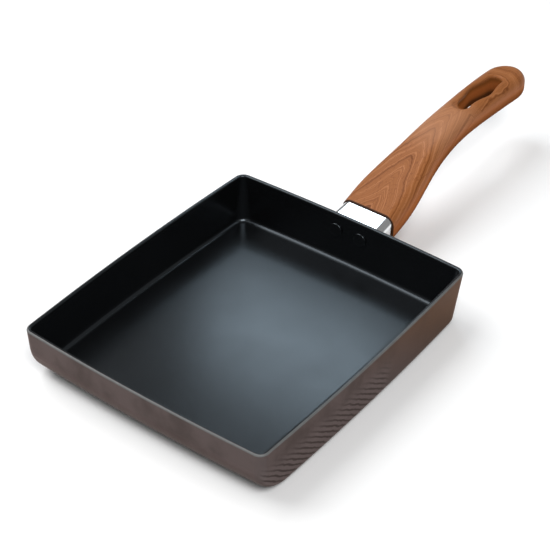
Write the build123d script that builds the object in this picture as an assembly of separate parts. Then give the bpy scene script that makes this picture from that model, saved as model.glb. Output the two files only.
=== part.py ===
from build123d import *
from math import asin, cos, degrees, radians, sin, tan
import os

# Tamagoyaki pan: a shallow oblong omelette pan with a riveted bracket, a steel ferrule and a moulded grip.
# Origin at the centre of the flat underside. +Z up, +Y from the pan towards the handle's tail, +X right.
# Millimetres and degrees.

# Pan body, outside sizes at the rim
rim_width = 150.0
rim_length = 180.6
pan_height = 31.5
side_bow = 2.2
front_bow = 1.9
back_bow = 1.9
wall = 2.3
floor_thickness = 3.0
side_lean = 2.0
front_lean = 3.0
back_lean = 4.1
front_sweep = 20.3
corner_radius = 5.0
back_corner_top = 5.6
back_corner_foot = 11.4
rim_round = 0.9

# Rivets through the back wall
rivet_spacing = 16.0
rivet_drop = 10.1
rivet_shank = 4.8
rivet_head = 8.0
rivet_head_height = 1.0
rivet_tail = 5.8
rivet_tail_height = 1.5

# Ferrule, a sheet sleeve of rounded oblong section from the wall into the grip
ferrule_sheet = 0.8
ferrule_reach = 16.0
ferrule_wall_width = 33.6
ferrule_wall_depth = 16.0
ferrule_wall_drop = 13.7
ferrule_end_width = 32.4
ferrule_end_depth = 15.4
ferrule_end_drop = 11.4
ferrule_corner = 4.4
ferrule_entry = 2.0

# Bracket, one bent strip: a plate on the wall, a tongue along the ferrule and a web across the screw
bracket_sheet = 1.6
bracket_width = 27.0
bracket_rise = 12.2
tongue_width = 15.0
web_reach = 12.6
web_rise = 9.4
tongue_climb = 1.9
bend_radius = 2.2
plate_corner = 2.4

# Long screw, its nut and its washers
screw_diameter = 4.0
screw_rise = 12.9
screw_drop = 11.6
screw_beyond_nut = 1.6
head_diameter = 7.6
head_height = 2.6
head_round = 0.9
recess_length = 4.2
recess_width = 0.9
recess_depth = 1.5
nut_across_flats = 7.0
nut_height = 3.2
washer_diameter = 8.6
washer_thickness = 0.8
spring_diameter = 7.2
spring_thickness = 1.1
spring_split = 0.9

# Grip, a moulding with an arched side outline and a waisted plan outline
grip_length = 159.2
grip_arch = 20.9
root_width = 34.6
shoulder_width = 34.9
flank_width = 26.5
waist_width = 22.5
tail_width = 24.7
root_depth = 18.0
waist_depth = 15.6
tail_depth = 16.0
grip_edge = 6.2
root_edge = 0.8
grip_lip = 1.1
slot_length = 42.0
slot_width = 12.6
slot_near_width = 8.0
slot_far_width = 8.4
slot_edge = 1.6
scoop_radius = 8.5
scoop_depth = 2.6
scoop_edge = 1.6
head_cover = 1.6

# Places along the grip, as shares of its length from the root
shoulder_share = 0.10
flank_share = 0.30
waist_share = 0.56
tail_share = 0.90
slot_share = 0.73
slot_belly_share = 0.5
# The top outline of the grip: share of its length, share of its arch
crown_shares = ((0.0, 0.0), (0.21, 0.487), (0.44, 0.933), (0.58, 1.0), (0.79, 0.98), (1.0, 0.855))

# Clearances
seat_gap = 0.05
thread_gap = 0.06
hole_gap = 0.1
bore_gap = 0.3
socket_gap = 0.25
overrun = 2.0

# Cylinders and boxes stand on their plane
standing = (Align.CENTER, Align.CENTER, Align.MIN)


def lean_inset(height, lean, bend):
    """How far the flat floor's edge lies inside the rim's, past a leaning wall and the bend at its foot."""
    corner_angle = radians(90 + lean)
    return height * tan(radians(lean)) + bend / tan(corner_angle / 2)


# The underside's flat face runs between these, and the origin lies halfway
front_inset = lean_inset(pan_height, front_lean, front_sweep)
back_inset = lean_inset(pan_height, back_lean, corner_radius)
rim_center = (back_inset - front_inset) / 2
rim_front = rim_center - rim_length / 2
rim_back = rim_center + rim_length / 2


def bow_reach(bow):
    """The radius in plan of a wall as wide as the pan that bows out by a small amount."""
    return ((rim_width / 2) ** 2 + bow**2) / (2 * bow)


def wall_outline(height, inset):
    """Side and back walls in plan at a height: bowed, with back corners that widen downwards."""
    drop = pan_height - height
    half = rim_width / 2 - drop * tan(radians(side_lean)) - inset
    front = rim_front - overrun
    back = rim_back - drop * tan(radians(back_lean)) - inset
    right = ThreePointArc((half, front), (half + side_bow, rim_center), (half, back - back_bow))
    rear = ThreePointArc((half, back - back_bow), (0, back), (-half, back - back_bow))
    left = ThreePointArc((-half, back - back_bow), (-half - side_bow, rim_center), (-half, front))
    outline = make_face([Line((-half, front), (half, front)), right, rear, left])
    corner = back_corner_top + (back_corner_foot - back_corner_top) * drop / pan_height - inset
    corners = [v for v in outline.vertices() if v.Y > rim_center]
    return Plane.XY.offset(height) * fillet(corners, corner)


def swept_front(inset, base, top):
    """A block behind the front wall: its side outline swept round a far upright axis, so that it bows."""
    lean = tan(radians(front_lean))
    face_top = (rim_front + inset + (pan_height - top) * lean, top)
    face_foot = (rim_front + inset + (pan_height - base) * lean, base)
    beyond = rim_back + overrun
    profile = make_face(Polyline(face_top, face_foot, (beyond, base), (beyond, top), close=True))
    profile = fillet(profile.vertices().group_by(Axis.Y)[0].sort_by(Axis.X)[0], front_sweep - inset)
    reach = bow_reach(front_bow)
    axis = Axis((0, rim_front + inset + reach, 0), (0, 0, 1))
    turn = 3 * degrees(asin(rim_width / 2 / reach))
    return revolve((Plane.YZ * profile).rotate(axis, -turn / 2), axis, turn)


def pan_form(inset, base, top):
    """The pan as a solid block: the swept front between side and back walls, its remaining edges rolled."""
    walls = loft([wall_outline(base - overrun, inset), wall_outline(top + overrun, inset)], ruled=True)
    form = swept_front(inset, base, top) & walls

    def rolls(edge):
        spot = edge.center()
        if spot.Y > rim_center:
            return spot.Z < base + seat_gap
        return abs(spot.X) > rim_width / 4 and spot.Z < top - seat_gap

    return fillet([e for e in form.edges() if rolls(e)], corner_radius - inset)


def back_wall_y(height):
    """Where the back wall's outside face lies at a height."""
    return rim_back - (pan_height - height) * tan(radians(back_lean))


rivet_height = pan_height - rivet_drop


def wall_plane(x, along):
    """A plane square to the back wall at one rivet, at a distance out from the wall's outside face."""
    turn = asin(x / bow_reach(back_bow))
    lean = radians(back_lean)
    out = (sin(turn) * cos(lean), cos(turn) * cos(lean), -sin(lean))
    y = back_wall_y(rivet_height) - bow_reach(back_bow) * (1 - cos(turn))
    return Plane(origin=(x, y, rivet_height), x_dir=(cos(turn), -sin(turn), 0), z_dir=out).offset(along)


# The wall is measured level, so it is a little thinner square to its lean
wall_through = wall * cos(radians(back_lean))
rivet_places = (("rivet_left", -rivet_spacing / 2), ("rivet_right", rivet_spacing / 2))


def rivet_bore(x):
    """A straight bore through the back wall and the bracket at one rivet."""
    diameter = rivet_shank + 2 * hole_gap
    length = wall_through + bracket_sheet + 2 * overrun
    bore = Cylinder(diameter / 2, length, align=standing)
    return wall_plane(x, -wall_through - overrun) * bore


def make_pan_body():
    """The pressed pan: outside form less the inside form, with a rolled rim and two rivet holes."""
    outside = pan_form(0.0, 0.0, pan_height)
    inside = pan_form(wall, floor_thickness, pan_height + overrun)
    pan = outside - inside
    rim = [e for e in pan.edges() if e.center().Z > pan_height - seat_gap]
    pan = fillet(rim, rim_round)
    for name, x in rivet_places:
        pan -= rivet_bore(x)
    return pan


def make_rivet(x):
    """A flat head inside the pan, a shank through wall and bracket, and a closed tail on the bracket."""
    through = wall_through + bracket_sheet + 4 * seat_gap
    head = Cylinder(rivet_head / 2, rivet_head_height, align=standing)
    head = fillet(head.edges().sort_by(Axis.Z)[0], rivet_head_height / 2)
    shank = Pos(0, 0, rivet_head_height) * Cylinder(rivet_shank / 2, through, align=standing)
    tail = Pos(0, 0, rivet_head_height + through) * Cylinder(rivet_tail / 2, rivet_tail_height, align=standing)
    tail = fillet(tail.edges().sort_by(Axis.Z)[-1], rivet_tail_height / 2)
    return wall_plane(x, -wall_through - seat_gap - rivet_head_height) * (head + shank + tail)


def ferrule_section(y, grow):
    """The ferrule's outline in an upright plane at y, grown or shrunk all round."""
    share = (y - rim_back) / ferrule_reach
    width = ferrule_wall_width + share * (ferrule_end_width - ferrule_wall_width) + 2 * grow
    depth = ferrule_wall_depth + share * (ferrule_end_depth - ferrule_wall_depth) + 2 * grow
    height = pan_height - ferrule_wall_drop - share * (ferrule_end_drop - ferrule_wall_drop)
    plane = Plane(origin=(0, y, height), x_dir=(1, 0, 0), z_dir=(0, -1, 0))
    return plane * RectangleRounded(width, depth, ferrule_corner + grow)


def ferrule_tube(start, end, grow):
    """A solid along the ferrule between two upright planes."""
    return loft([ferrule_section(start, grow), ferrule_section(end, grow)], ruled=True)


root_y = rim_back + ferrule_reach
ferrule_end_y = root_y + ferrule_entry


def make_ferrule():
    """A sheet sleeve, cut to the slope of the pan's wall at one end and let into the grip at the other."""
    start = rim_back - 2 * overrun
    sleeve = ferrule_tube(start, ferrule_end_y, 0.0)
    sleeve -= ferrule_tube(start - overrun, ferrule_end_y + overrun, -ferrule_sheet)
    return sleeve - pan_form(-seat_gap, 0.0, pan_height)


# The screw's axis rises along the grip from the bracket's web
web_y = back_wall_y(rivet_height) + web_reach
web_height = pan_height - screw_drop
screw_out = (0, cos(radians(screw_rise)), sin(radians(screw_rise)))


def screw_plane(along):
    """A plane across the screw's axis, at a distance from the web's face on the grip's side."""
    origin = (0, web_y + along * screw_out[1], web_height + along * screw_out[2])
    return Plane(origin=origin, x_dir=(1, 0, 0), z_dir=screw_out)


def rod(start, end, diameter):
    """A cylinder along the screw's axis."""
    return screw_plane(start) * Cylinder(diameter / 2, end - start, align=standing)


def make_bracket():
    """A strip bent twice: plate on the wall, tongue under the nut, web square to the screw."""
    half = bracket_sheet / 2
    plate_top = rivet_height + rivet_tail / 2 + seat_gap
    plate_foot = plate_top - bracket_rise
    offset = seat_gap + half / cos(radians(back_lean))
    web_face = (web_y - half * screw_out[1], web_height - half * screw_out[2])
    upright = (-screw_out[2], screw_out[1])
    web_foot = plate_foot + tongue_climb
    web_down = (web_face[1] - web_foot) / upright[1]
    web_up = web_rise - web_down
    path = FilletPolyline(
        (back_wall_y(plate_top) + offset, plate_top),
        (back_wall_y(plate_foot) + offset, plate_foot),
        (web_face[0] - web_down * upright[0], web_foot),
        (web_face[0] + web_up * upright[0], web_face[1] + web_up * upright[1]),
        radius=bend_radius,
    )
    strip = extrude(Plane.YZ * trace(path, bracket_sheet), bracket_width / 2, both=True)
    # The tongue and the web are narrower than the plate
    tongue_start = back_wall_y(plate_foot) + offset + half + seat_gap
    cheek_width = (bracket_width - tongue_width) / 2
    cheek = Box(cheek_width + overrun, web_reach + 2 * overrun, bracket_rise + 4 * overrun)
    for side in (-1, 1):
        cheek_x = side * (tongue_width / 2 + (cheek_width + overrun) / 2)
        strip -= Pos(cheek_x, tongue_start + web_reach / 2 + overrun, plate_foot + bracket_rise / 2) * cheek
    across_wall = Axis((0, 0, 0), wall_plane(0, 0).z_dir)
    plate_top_corners = strip.edges().filter_by(across_wall).sort_by(Axis.Z)[-2:]
    strip = fillet(plate_top_corners, plate_corner)
    for name, x in rivet_places:
        strip -= rivet_bore(x)
    strip -= rod(-web_reach / 2, overrun, screw_diameter + 2 * hole_gap)
    return strip


def make_nut():
    """A hexagon nut on the pan's side of the web."""
    hexagon = RegularPolygon(nut_across_flats / 2, 6, major_radius=False)
    nut = screw_plane(-bracket_sheet - seat_gap - nut_height) * extrude(hexagon, nut_height)
    return nut - rod(-web_reach, overrun, screw_diameter + 2 * thread_gap)


root_top = pan_height - ferrule_end_drop + ferrule_end_depth / 2 + grip_lip
slot_y = root_y + slot_share * grip_length
slot_near_y = slot_y - slot_length / 2


def grip_depth(share):
    """The grip's depth from top to underside at a share of its length."""
    if share < waist_share:
        return root_depth + (waist_depth - root_depth) * share / waist_share
    return waist_depth + (tail_depth - waist_depth) * (share - waist_share) / (1 - waist_share)


def side_outline():
    """The grip from the side: an arched top and an underside that runs a tapering depth below it."""
    top = [(root_y + s * grip_length, root_top + rise * grip_arch) for s, rise in crown_shares]
    under = [(y, z - grip_depth(s)) for (y, z), (s, rise) in zip(top, crown_shares)]
    return make_face([Spline(top), Line(top[-1], under[-1]), Spline(under[::-1]), Line(under[0], top[0])])


def plan_outline():
    """The grip from above: wide root and shoulder, narrow waist, wider tail with an elliptical tip."""
    stations = (
        (0.0, root_width),
        (shoulder_share, shoulder_width),
        (flank_share, flank_width),
        (waist_share, waist_width),
        (tail_share, tail_width),
    )
    right = [(width / 2, root_y + s * grip_length) for s, width in stations]
    left = [(-x, y) for x, y in reversed(right)]
    root_slope = (shoulder_width - root_width) / (shoulder_share * grip_length)
    right_side = Spline(right, tangents=[(root_slope, 1), (0, 1)])
    left_side = Spline(left, tangents=[(0, -1), (root_slope, -1)])
    tip_reach = (1 - tail_share) * grip_length
    tip = EllipticalCenterArc(
        (0, right[-1][1]), tip_reach, tail_width / 2, start_angle=-90, arc_size=180, rotation=90
    )
    return make_face([right_side, tip, left_side, Line(left[-1], right[0])])


def slot_outline():
    """The hanging slot from above: a small round near end, a wide belly and a small round far end."""
    near = slot_near_y + slot_near_width / 2
    far_end = slot_near_y + slot_length
    far = far_end - slot_far_width / 2
    belly = slot_near_y + slot_belly_share * slot_length
    right = [(slot_near_width / 2, near), (slot_width / 2, belly), (slot_far_width / 2, far)]
    left = [(-x, y) for x, y in reversed(right)]
    right_side = Spline(right, tangents=[(0, 1), (0, 1)])
    left_side = Spline(left, tangents=[(0, -1), (0, -1)])
    far_round = ThreePointArc(right[-1], (0, far_end), left[0])
    near_round = ThreePointArc(left[-1], (0, slot_near_y), right[0])
    return make_face([right_side, far_round, left_side, near_round])


# The screw's head and washers sit in a counterbore that opens into the slot's near end
slot_along = (slot_near_y - web_y) / screw_out[1]
seat_along = slot_along - head_cover - head_height - spring_thickness - washer_thickness


def make_grip():
    """Side outline and plan outline swept through each other, edges rolled, then slot, socket and bore."""
    tall = 2 * (root_top + grip_arch)
    body = extrude(Plane.YZ * side_outline(), shoulder_width, both=True) & extrude(plan_outline(), tall)
    past_root = [e for e in body.edges() if e.center().Y > root_y + overrun]
    long_edges = [e for e in past_root if e.length > tail_depth + overrun]
    tip_posts = [e for e in long_edges if e.geom_type == GeomType.LINE]
    body = fillet([e for e in long_edges if e not in tip_posts], grip_edge)
    # A shallow scoop with a soft rim leads into the slot's near end
    scoop_center = Vector(0, slot_near_y, root_top + grip_arch + scoop_radius - scoop_depth)
    body -= Pos(*scoop_center) * Sphere(scoop_radius)

    def on_scoop(edge):
        return all(abs((edge @ u - scoop_center).length - scoop_radius) < seat_gap for u in (0.0, 0.5))

    body = fillet([e for e in body.edges() if on_scoop(e)], scoop_edge)
    # Hanging slot, right through, with rolled rims
    body -= extrude(slot_outline(), tall)
    slot_wire = slot_outline().wires()[0]

    def on_slot(edge):
        spots = [Vertex((edge @ u).X, (edge @ u).Y, 0) for u in (0.2, 0.5, 0.8)]
        return all(slot_wire.distance_to(spot) < seat_gap for spot in spots)

    body = fillet([e for e in body.edges() if e.geom_type != GeomType.LINE and on_slot(e)], slot_edge)
    # Rounded rim of the root, then a socket for the ferrule with a spigot that fills the ferrule
    root_edges = [e for e in body.edges() if e.center().Y < root_y + seat_gap]
    body = fillet(root_edges, root_edge)
    body -= ferrule_tube(root_y - overrun, ferrule_end_y + socket_gap, socket_gap)
    spigot = ferrule_tube(web_y - web_reach / 2, ferrule_end_y + overrun, -ferrule_sheet - socket_gap)
    behind_web = screw_plane(seat_gap) * Box(
        root_width + overrun, 2 * root_depth, web_reach, align=(Align.CENTER, Align.CENTER, Align.MAX)
    )
    body += spigot - behind_web
    # Long bore for the screw, then the counterbore
    body -= rod(-overrun, slot_along, screw_diameter + 2 * bore_gap)
    body -= rod(seat_along, slot_along + slot_near_width / 2, washer_diameter + 2 * bore_gap)
    return body


def make_flat_washer():
    """A plain ring on the counterbore's floor."""
    ring = rod(seat_along + seat_gap, seat_along + washer_thickness, washer_diameter)
    return ring - rod(seat_along - overrun, seat_along + overrun, screw_diameter + 2 * hole_gap)


def make_spring_washer():
    """A split ring on the flat washer."""
    start = seat_along + washer_thickness + seat_gap
    end = seat_along + washer_thickness + spring_thickness
    hole = rod(start - overrun, end + overrun, screw_diameter + 2 * hole_gap)
    split = Box(spring_split, spring_diameter, spring_thickness + 2 * overrun, align=standing)
    split = screw_plane(start - overrun) * Pos(0, spring_diameter / 2, 0) * split
    return rod(start, end, spring_diameter) - hole - split


def make_screw():
    """A long shank from beyond the nut to a domed head with a cross recess."""
    head_start = seat_along + washer_thickness + spring_thickness + seat_gap
    tip = -bracket_sheet - seat_gap - nut_height - screw_beyond_nut
    head = rod(head_start, head_start + head_height, head_diameter)
    crown = head.edges().sort_by(Axis((0, 0, 0), screw_out))[-1]
    head = fillet(crown, head_round)
    recess_floor = screw_plane(head_start + head_height - recess_depth)
    cross = Box(recess_length, recess_width, recess_depth + overrun, align=standing)
    cross += Rot(0, 0, 90) * cross
    shank = rod(tip, head_start, screw_diameter)
    shank = chamfer(shank.edges().sort_by(Axis((0, 0, 0), screw_out))[0], screw_diameter / 8)
    return head + shank - recess_floor * cross


def build():
    """Every node of the assembly, by name."""
    parts = {"pan_body": make_pan_body(), "ferrule": make_ferrule(), "handle_bracket": make_bracket()}
    for name, x in rivet_places:
        parts[name] = make_rivet(x)
    parts["bracket_nut"] = make_nut()
    parts["handle_grip"] = make_grip()
    parts["flat_washer"] = make_flat_washer()
    parts["spring_washer"] = make_spring_washer()
    parts["handle_screw"] = make_screw()
    return parts


if __name__ == "__main__":
    os.makedirs("parts", exist_ok=True)
    for name, part in build().items():
        export_step(part, f"parts/{name}.step")
        print(name, "volume", round(part.volume, 1))
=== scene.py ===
import bmesh
import bpy
from math import cos, radians, sin
from mathutils import Matrix, Quaternion, Vector

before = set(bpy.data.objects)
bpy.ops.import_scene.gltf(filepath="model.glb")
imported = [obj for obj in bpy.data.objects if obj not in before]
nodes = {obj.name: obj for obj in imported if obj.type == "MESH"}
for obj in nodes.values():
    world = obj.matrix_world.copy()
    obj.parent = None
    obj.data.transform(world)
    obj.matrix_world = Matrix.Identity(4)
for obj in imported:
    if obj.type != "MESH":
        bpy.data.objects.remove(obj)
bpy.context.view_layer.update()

MM = 0.001

# Pan sizes that the finishes follow
rim_height = 31.5 * MM
rim_edge = 0.9 * MM
pan_middle_y = -7.0 * MM

# Grip sizes that the printed grain follows
grip_root_y = 99.3 * MM
grip_length = 159.2 * MM
grip_root_top = 28.9 * MM
grip_arch = 20.9 * MM
crown_shares = ((0.0, 0.0), (0.21, 0.487), (0.44, 0.933), (0.58, 1.0), (0.79, 0.98), (1.0, 0.855))
waist_share = 0.46
slot_share = 0.73
slot_length = 42.0 * MM
slot_width = 12.6 * MM
slot_middle_y = grip_root_y + slot_share * grip_length

# Slanted lines painted in the lacquer, with no relief: their slant as parts of Y and Z, their radians per
# metre of slant, and their sway
lines_slant_y = 0.62
lines_slant_z = 0.85
lines_wave = 2080.0
lines_sway = 2.0 * MM

# Where the painted lines start, coming down from the rim and forward from the handle, and where they are
# full
lines_top_z = 26.0 * MM
lines_full_z = 12.0 * MM
lines_back_y = 12.0 * MM
lines_full_y = 2.0 * MM

# Pan colours
coat_dark = (0.0018, 0.0018, 0.0020, 1)
coat_worn = (0.0032, 0.0033, 0.0036, 1)
coat_speck = (0.026, 0.029, 0.033, 1)
coat_sheen = (0.78, 0.90, 1.0, 1)
mauve = (0.089, 0.071, 0.069, 1)
mauve_shaded = (0.058, 0.047, 0.045, 1)
# A painted warm reflection towards the handle, plain and mottled darker
reflected_warmth = (0.082, 0.042, 0.020, 1)
reflected_warmth_darker = (0.068, 0.037, 0.020, 1)
# Painted shade where the lacquer turns under the pan
under_painted_shade = (0.038, 0.036, 0.035, 1)
lacquer_sheen = (0.72, 0.58, 0.54, 1)
# A pale patch and dark slanted lines painted low on the side walls
lines_pale_patch = (0.140, 0.115, 0.113, 1)
lines_dark = (0.026, 0.021, 0.020, 1)
rim_dark = (0.100, 0.104, 0.103, 1)
rim_pale = (0.160, 0.164, 0.162, 1)

# Colours of the printed grain
grain_stops = (
    (0.36, (0.150, 0.042, 0.008, 1)),
    (0.42, (0.248, 0.084, 0.024, 1)),
    (0.55, (0.300, 0.108, 0.033, 1)),
    (0.66, (0.430, 0.178, 0.078, 1)),
)
pore_brown = (0.17, 0.048, 0.012, 1)
flank_red = (0.42, 0.140, 0.050, 1)
# Painted shade under the grip
underside_painted_shade = (0.13, 0.042, 0.015, 1)
waist_pink = (0.46, 0.235, 0.135, 1)
# Painted shadow at the root, where the grip meets the ferrule
root_painted_shadow = (0.06, 0.026, 0.014, 1)

# Painted shade down the inside of the hanging slot, over its darker brown, as shares of its depth: dark
# under the rim, darkest at the bottom
slot_depth = 16.0 * MM
slot_shade_stops = (
    (0.12, (0.130, 0.044, 0.008, 1)),
    (0.36, (0.290, 0.085, 0.020, 1)),
    (0.56, (0.240, 0.070, 0.016, 1)),
    (0.72, (0.040, 0.013, 0.004, 1)),
)


# Short ways to build a finish
class Finish:
    """A material, with short ways to add its nodes and join them."""

    def __init__(self, name):
        self.material = bpy.data.materials.new(name)
        self.material.use_nodes = True
        self.tree = self.material.node_tree
        self.tree.nodes.clear()
        texture_place = self.add("ShaderNodeTexCoord")
        self.place = texture_place.outputs["Object"]
        self.normal = texture_place.outputs["Normal"]

    def add(self, kind, inputs=None, **settings):
        """A node with its settings, its inputs given as numbers or as sockets of other nodes."""
        node = self.tree.nodes.new(kind)
        for key, value in settings.items():
            setattr(node, key, value)
        for key, value in (inputs or {}).items():
            if isinstance(value, bpy.types.NodeSocket):
                self.tree.links.new(value, node.inputs[key])
            else:
                node.inputs[key].default_value = value
        return node

    def math(self, operation, a, b=0.0, c=0.0):
        return self.add("ShaderNodeMath", {0: a, 1: b, 2: c}, operation=operation).outputs[0]

    def plus(self, a, b):
        return self.math("ADD", a, b)

    def minus(self, a, b):
        return self.math("SUBTRACT", a, b)

    def times(self, a, b):
        return self.math("MULTIPLY", a, b)

    def divided(self, a, b):
        return self.math("DIVIDE", a, b)

    def times_plus(self, a, b, c):
        """a times b, plus c."""
        return self.math("MULTIPLY_ADD", a, b, c)

    def squared(self, a):
        return self.math("POWER", a, 2.0)

    def square_root(self, a):
        return self.math("SQRT", a)

    def magnitude(self, a):
        return self.math("ABSOLUTE", a)

    def larger(self, a, b):
        return self.math("MAXIMUM", a, b)

    def fade(self, value, low, high):
        """0 where the value is low, 1 where it is high, smooth between. low may be above high."""
        inputs = {"Value": value, "From Min": low, "From Max": high, "To Min": 0.0, "To Max": 1.0}
        return self.add("ShaderNodeMapRange", inputs, interpolation_type="SMOOTHSTEP").outputs[0]

    def scale_to(self, value, low, high):
        """A value between 0 and 1 stretched to lie between low and high."""
        inputs = {"Value": value, "From Min": 0.0, "From Max": 1.0, "To Min": low, "To Max": high}
        return self.add("ShaderNodeMapRange", inputs).outputs[0]

    def parts(self, vector):
        """The X, Y and Z of a vector."""
        node = self.add("ShaderNodeSeparateXYZ", {0: vector})
        return node.outputs[0], node.outputs[1], node.outputs[2]

    def mixed(self, share, a, b):
        """Colour a where the share is 0, colour b where it is 1."""
        node = self.add("ShaderNodeMix", {0: share, 6: a, 7: b}, data_type="RGBA")
        return node.outputs[2]

    def washed(self, colour, wash, share, strength):
        """A colour under a wash of another one, which has its strength where the share is 1."""
        return self.mixed(self.times(share, strength), colour, wash)

    def ramp(self, value, stops):
        """Colours at places between 0 and 1."""
        node = self.add("ShaderNodeValToRGB", {0: value})
        points = node.color_ramp.elements
        while len(points) < len(stops):
            points.new(0.5)
        for point, (place, colour) in zip(points, stops):
            point.position = place
            point.color = colour
        return node.outputs[0]

    def noise(self, scale, detail, stretch=(1.0, 1.0, 1.0), roughness=0.5):
        """Cloudy noise, its scale per metre. A stretch under 1 draws it out along that axis."""
        place = self.add("ShaderNodeMapping", {"Vector": self.place, "Scale": stretch}).outputs[0]
        inputs = {"Vector": place, "Scale": scale, "Detail": detail, "Roughness": roughness}
        return self.add("ShaderNodeTexNoise", inputs).outputs[0]

    def line_noise(self, at, scale, detail, roughness=0.5):
        """Noise along one number, so that it makes bands wherever that number is equal."""
        inputs = {"W": at, "Scale": scale, "Detail": detail, "Roughness": roughness}
        return self.add("ShaderNodeTexNoise", inputs, noise_dimensions="1D").outputs[0]

    def relief(self, height, depth):
        """A bump of a depth in metres."""
        return self.add("ShaderNodeBump", {"Height": height, "Distance": depth}).outputs[0]

    def shader(self, **inputs):
        """The surface shader. Names are the shader's own, with _ for a space."""
        named = {key.replace("_", " "): value for key, value in inputs.items()}
        return self.add("ShaderNodeBsdfPrincipled", named).outputs[0]

    def blend(self, share, a, b):
        """Shader a where the share is 0, shader b where it is 1."""
        return self.add("ShaderNodeMixShader", {0: share, 1: a, 2: b}).outputs[0]

    def done(self, shader):
        """The finished material, with this shader as its surface."""
        self.add("ShaderNodeOutputMaterial", {"Surface": shader})
        return self.material


def wear(piece, material):
    """Gives a node or piece one material all over."""
    piece.data.materials.clear()
    piece.data.materials.append(material)


# Pan body: non-stick coating inside, metallic lacquer outside, a paler rim
def nonstick(finish):
    """Dark coating with a cool sheen, a fine grain and faint cloudy wear."""
    grain = finish.noise(2600.0, detail=3.0)
    cloud = finish.noise(38.0, detail=4.0, roughness=0.6)
    speck = finish.fade(finish.noise(3800.0, detail=1.0), 0.70, 0.76)
    colour = finish.mixed(cloud, coat_dark, coat_worn)
    return finish.shader(
        Base_Color=finish.mixed(speck, colour, coat_speck),
        Roughness=finish.scale_to(cloud, 0.20, 0.30),
        Specular_IOR_Level=0.62,
        Specular_Tint=coat_sheen,
        Normal=finish.relief(grain, 0.02 * MM),
    )


def lacquer_colour(finish, y, z, up):
    """Mauve-brown with a mottle, a painted warm reflection towards the handle, and painted shade, greyer
    and darker, where it turns under.
    """
    # The painted warm reflection starts further forward near the rim than near the foot
    lean = 1.5
    warm = finish.times_plus(finish.minus(z, 0.6 * rim_height), lean, y)
    warm = finish.fade(warm, -20.0 * MM, 66.0 * MM)
    plain = finish.mixed(warm, mauve, reflected_warmth)
    shaded = finish.mixed(warm, mauve_shaded, reflected_warmth_darker)
    mottle = finish.noise(60.0, detail=4.0, stretch=(1.0, 1.0, 0.7), roughness=0.6)
    lacquer = finish.mixed(finish.fade(mottle, 0.40, 0.68), plain, shaded)
    # Painted shade: greyer and darker where the wall turns under
    return finish.washed(lacquer, under_painted_shade, finish.fade(up, -0.08, -0.50), 0.8)


def slant_lined(finish, lacquer, y, z, across):
    """The lacquer with a painted pale patch and slanted dark lines low on the side walls, towards the
    front, with no relief.
    """
    slant = finish.plus(finish.times(y, lines_slant_y), finish.times(z, lines_slant_z))
    slant = finish.plus(slant, finish.times(finish.noise(170.0, detail=2.0), lines_sway))
    wave = finish.math("SINE", finish.times(slant, lines_wave))
    side = finish.fade(finish.magnitude(across), 0.45, 0.85)
    low = finish.fade(z, lines_top_z, lines_full_z)
    ahead = finish.fade(y, lines_back_y, lines_full_y)
    where = finish.times(finish.times(side, low), ahead)
    lacquer = finish.washed(lacquer, lines_pale_patch, where, 0.7)
    lines = finish.times(finish.fade(wave, -0.2, 1.0), where)
    return finish.washed(lacquer, lines_dark, lines, 0.9)


def pan_finish():
    finish = Finish("pan coating and lacquer")
    _, y, z = finish.parts(finish.place)
    across, _, up = finish.parts(finish.normal)
    # Outside faces look away from a point level with the rim, inside faces look towards it
    rim_middle = (0.0, pan_middle_y, rim_height)
    from_middle = finish.add("ShaderNodeVectorMath", {0: finish.place, 1: rim_middle}, operation="SUBTRACT")
    facing = {0: from_middle.outputs["Vector"], 1: finish.normal}
    outward = finish.add("ShaderNodeVectorMath", facing, operation="DOT_PRODUCT").outputs["Value"]
    outside = finish.fade(outward, 0.5 * MM, 3.0 * MM)
    flake = finish.noise(3000.0, detail=2.0)
    outer = finish.shader(
        Base_Color=slant_lined(finish, lacquer_colour(finish, y, z, up), y, z, across),
        Metallic=0.70,
        Roughness=finish.scale_to(flake, 0.34, 0.46),
        Specular_IOR_Level=0.25,
        Specular_Tint=lacquer_sheen,
        Normal=finish.relief(flake, 0.015 * MM),
    )
    # The outer round of the rim, paler where the coats thin out
    nick = finish.noise(260.0, detail=3.0)
    edge = finish.shader(
        Base_Color=finish.mixed(nick, rim_dark, rim_pale),
        Metallic=0.3,
        Roughness=0.5,
    )
    top = finish.fade(z, rim_height - 1.2 * rim_edge, rim_height - 0.6 * rim_edge)
    rim = finish.times(top, finish.fade(outward, 4.0 * MM, 25.0 * MM))
    coats = finish.blend(outside, nonstick(finish), outer)
    return finish.done(finish.blend(rim, coats, edge))


def rivet_finish():
    finish = Finish("coated rivet")
    return finish.done(nonstick(finish))


# Ferrule and hidden steel parts
def bright_steel():
    """Polished sheet with faint draw lines along it and a little handling haze."""
    finish = Finish("bright steel")
    lines = finish.noise(900.0, detail=3.0, stretch=(1.0, 0.03, 1.0))
    haze = finish.noise(70.0, detail=3.0)
    return finish.done(
        finish.shader(
            Base_Color=(0.80, 0.81, 0.82, 1),
            Metallic=1.0,
            Roughness=finish.scale_to(haze, 0.10, 0.22),
            Normal=finish.relief(lines, 0.004 * MM),
        )
    )


def rolled_steel():
    """Plain bracket sheet with rolling lines across it."""
    finish = Finish("rolled steel")
    lines = finish.noise(700.0, detail=4.0, stretch=(0.05, 1.0, 1.0))
    return finish.done(
        finish.shader(
            Base_Color=finish.mixed(lines, (0.36, 0.36, 0.36, 1), (0.55, 0.55, 0.54, 1)),
            Metallic=1.0,
            Roughness=finish.scale_to(lines, 0.28, 0.48),
            Normal=finish.relief(lines, 0.01 * MM),
        )
    )


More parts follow.
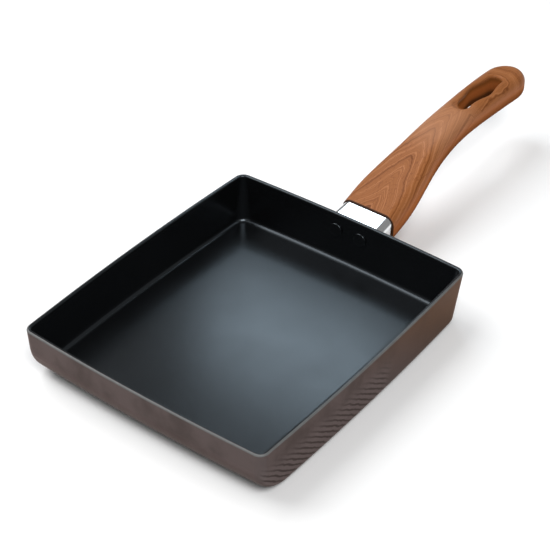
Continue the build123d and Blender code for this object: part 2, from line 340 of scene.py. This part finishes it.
def zinc_plate():
    """Plated screw, nut and washers, with a soft mottle."""
    finish = Finish("zinc plate")
    mottle = finish.noise(900.0, detail=3.0)
    return finish.done(
        finish.shader(
            Base_Color=finish.mixed(mottle, (0.52, 0.53, 0.55, 1), (0.70, 0.69, 0.65, 1)),
            Metallic=1.0,
            Roughness=finish.scale_to(mottle, 0.24, 0.40),
            Normal=finish.relief(mottle, 0.01 * MM),
        )
    )


# Grip: printed wood grain under a satin coat
def below_crown(finish, share, z):
    """How far a point lies below the crown of the grip's back, at its share of the grip's length."""
    crown = finish.add("ShaderNodeFloatCurve", {"Value": share})
    curve = crown.mapping.curves[0]
    for place, rise in crown_shares[1:-1]:
        curve.points.new(place, rise)
    curve.points[0].location = crown_shares[0]
    curve.points[-1].location = crown_shares[-1]
    crown.mapping.update()
    crown_z = finish.times_plus(crown.outputs[0], grip_arch, grip_root_top)
    return finish.larger(finish.minus(crown_z, z), 0.0)


def grain_rings(finish, x, y, below):
    """A number that is equal along each line of the grain."""
    # Arches that point to the tail: rings along the grip that lag behind away from its middle line
    arch_steepness = 2.6
    arch_round = 4.0 * MM
    wander = finish.noise(22.0, detail=2.0, stretch=(0.4, 1.0, 0.4))
    middle = finish.times_plus(wander, 14.0 * MM, -6.0 * MM)
    girth = finish.plus(finish.magnitude(finish.minus(x, middle)), below)
    lag = finish.squared(finish.times(girth, arch_steepness))
    lag = finish.square_root(finish.plus(lag, arch_round**2))
    warp = finish.noise(90.0, detail=3.0, stretch=(1.0, 0.45, 1.0))
    shiver = finish.noise(330.0, detail=3.0, stretch=(1.0, 0.4, 1.0))
    sway = finish.times_plus(shiver, 4.5 * MM, finish.times(warp, 8.0 * MM))
    arches = finish.plus(finish.plus(y, lag), sway)
    # At the tail the grain runs round the slot, in rings this much closer together
    closer = 1.6
    past = finish.larger(finish.minus(y, slot_middle_y + 0.3 * slot_length), 0.0)
    from_slot = finish.square_root(finish.plus(finish.squared(x), finish.squared(past)))
    round_slot = finish.times_plus(from_slot, closer, sway)
    tail = finish.fade(y, slot_middle_y - 0.62 * slot_length, slot_middle_y - 0.38 * slot_length)
    return finish.plus(finish.times(finish.minus(round_slot, arches), tail), arches)


def slot_inside(finish, x, y, below):
    """1 on the walls of the hanging slot, 0 away from them."""
    slot_x = finish.squared(finish.divided(x, 0.60 * slot_width))
    slot_y = finish.squared(finish.divided(finish.minus(y, slot_middle_y), 0.54 * slot_length))
    within = finish.fade(finish.plus(slot_x, slot_y), 1.15, 0.95)
    return finish.times(within, finish.fade(below, 0.8 * MM, 3.2 * MM))


def printed_grain():
    finish = Finish("printed wood grain")
    x, y, z = finish.parts(finish.place)
    share = finish.divided(finish.minus(y, grip_root_y), grip_length)
    below = below_crown(finish, share, z)
    rings = grain_rings(finish, x, y, below)
    bands = finish.line_noise(rings, 150.0, detail=2.0)
    lines = finish.line_noise(rings, 640.0, detail=3.0, roughness=0.65)
    tone = finish.plus(finish.times(bands, 0.5), finish.times(lines, 0.5))
    tone = finish.ramp(tone, grain_stops)
    # Fine pores drawn out along the grip
    pores = finish.noise(1500.0, detail=3.0, stretch=(1.0, 0.06, 1.0))
    tone = finish.washed(tone, pore_brown, finish.fade(pores, 0.55, 0.68), 0.5)
    # The flanks are printed redder and plainer than the back
    tone = finish.washed(tone, flank_red, finish.fade(below, 2.0 * MM, 8.0 * MM), 0.6)
    # Painted shade: darker underneath, starting higher up where the grip is slimmer
    slimmer = finish.fade(y, grip_root_y + 15.0 * MM, grip_root_y + 60.0 * MM)
    shade_depth = finish.times_plus(slimmer, 3.5 * MM, below)
    tone = finish.washed(tone, underside_painted_shade, finish.fade(shade_depth, 8.5 * MM, 15.0 * MM), 0.75)
    # A paler, pinker stretch on the back of the waist
    near_waist = finish.fade(finish.magnitude(finish.minus(share, waist_share)), 0.20, 0.04)
    pale = finish.times(near_waist, finish.fade(below, 6.0 * MM, 1.0 * MM))
    tone = finish.washed(tone, waist_pink, pale, 0.4)
    # Inside the slot the moulding is darker brown, where the print thins out, with painted shade down its
    # depth. At the root's very edge, a painted shadow line
    inside = slot_inside(finish, x, y, below)
    # Painted shade down the depth of the slot
    slot_painted_shade = finish.ramp(finish.divided(below, slot_depth), slot_shade_stops)
    tone = finish.washed(tone, slot_painted_shade, inside, 0.85)
    # Painted shadow in the joint where the grip meets the ferrule
    root_shadow_share = finish.fade(y, grip_root_y + 0.6 * MM, grip_root_y + 0.2 * MM)
    tone = finish.mixed(root_shadow_share, tone, root_painted_shadow)
    satin = finish.shader(
        Base_Color=tone,
        Roughness=finish.scale_to(lines, 0.40, 0.52),
        Specular_IOR_Level=0.16,
        Normal=finish.relief(finish.plus(lines, pores), 0.03 * MM),
    )
    # No satin coat inside the slot and underneath
    matt = finish.add("ShaderNodeBsdfDiffuse", {"Color": tone, "Roughness": 0.5}).outputs[0]
    bare = finish.larger(inside, finish.fade(below, 3.0 * MM, 9.0 * MM))
    return finish.done(finish.blend(bare, satin, matt))


wear(nodes["pan_body"], pan_finish())
rivet = rivet_finish()
for name in ("rivet_left", "rivet_right"):
    wear(nodes[name], rivet)
wear(nodes["ferrule"], bright_steel())
wear(nodes["handle_bracket"], rolled_steel())
plate = zinc_plate()
for name in ("bracket_nut", "handle_screw", "spring_washer", "flat_washer"):
    wear(nodes[name], plate)
wear(nodes["handle_grip"], printed_grain())


# Stage: pale floor, soft light, camera
def pale_floor():
    finish = Finish("pale floor")
    cloud = finish.noise(6.0, detail=2.0)
    return finish.done(
        finish.shader(
            Base_Color=finish.mixed(cloud, (0.95, 0.95, 0.95, 1), (0.97, 0.97, 0.97, 1)),
            Roughness=0.9,
            Specular_IOR_Level=0.1,
        )
    )


floor_half = 4.0
floor_drop = 0.1 * MM
floor_mesh = bpy.data.meshes.new("floor")
shape = bmesh.new()
bmesh.ops.create_grid(shape, x_segments=1, y_segments=1, size=floor_half)
bmesh.ops.translate(shape, vec=(0.0, 0.0, -floor_drop), verts=shape.verts)
shape.to_mesh(floor_mesh)
shape.free()
floor = bpy.data.objects.new("floor", floor_mesh)
bpy.context.scene.collection.objects.link(floor)
wear(floor, pale_floor())


def soft_box(name, towards, distance, width, height, watts, tint=(1.0, 1.0, 1.0), turn=0.0):
    """A soft lamp in a direction from the object, facing it, turned by degrees, unseen by the camera."""
    lamp = bpy.data.lights.new(name, "AREA")
    lamp.shape = "RECTANGLE"
    lamp.size = width
    lamp.size_y = height
    lamp.energy = watts
    lamp.color = tint
    box = bpy.data.objects.new(name, lamp)
    way = Vector(towards).normalized()
    box.location = way * distance
    box.rotation_mode = "QUATERNION"
    box.rotation_quaternion = way.to_track_quat("Z", "Y") @ Quaternion((0.0, 0.0, 1.0), radians(turn))
    box.visible_camera = False
    bpy.context.scene.collection.objects.link(box)


soft_box(
    "back_strip",
    towards=(-0.475, 0.80, 0.845),
    distance=0.4,
    width=0.16,
    height=0.07,
    watts=0.182,
    tint=(0.78, 0.91, 1.0),
    turn=-20.0,
)
soft_box(
    "left_soft_box",
    towards=(-0.74, -0.16, 1.0),
    distance=1.6,
    width=1.3,
    height=1.3,
    watts=18.0,
)
soft_box(
    "front_soft_box",
    towards=(0.48, -0.38, 0.85),
    distance=2.2,
    width=0.9,
    height=0.9,
    watts=27.5,
)

world = bpy.data.worlds.new("studio")
world.use_nodes = True
sky = world.node_tree.nodes["Background"]
sky.inputs["Color"].default_value = (1.0, 1.0, 1.0, 1)
sky.inputs["Strength"].default_value = 0.28
bpy.context.scene.world = world
bpy.context.scene.view_settings.view_transform = "Standard"

camera_azimuth = radians(36.75)
camera_elevation = radians(37.84)
camera_roll = radians(0.63)
camera_distance = 879.2 * MM
camera_target = Vector((-26.45, 49.05, 0.0)) * MM
image_pixels = 550.0
focal_pixels = 1587.4
back = Vector(
    (
        sin(camera_azimuth) * cos(camera_elevation),
        -cos(camera_azimuth) * cos(camera_elevation),
        sin(camera_elevation),
    )
)
right = (-back).cross(Vector((0.0, 0.0, 1.0))).normalized()
up = right.cross(-back)
right, up = (
    cos(camera_roll) * right + sin(camera_roll) * up,
    cos(camera_roll) * up - sin(camera_roll) * right,
)
lens = bpy.data.cameras.new("camera")
lens.sensor_width = 36.0
lens.lens = focal_pixels * lens.sensor_width / image_pixels
camera = bpy.data.objects.new("camera", lens)
camera_turn = Matrix((right, up, back)).transposed().to_4x4()
camera.matrix_world = Matrix.Translation(camera_target + back * camera_distance) @ camera_turn
bpy.context.scene.collection.objects.link(camera)
bpy.context.scene.camera = camera
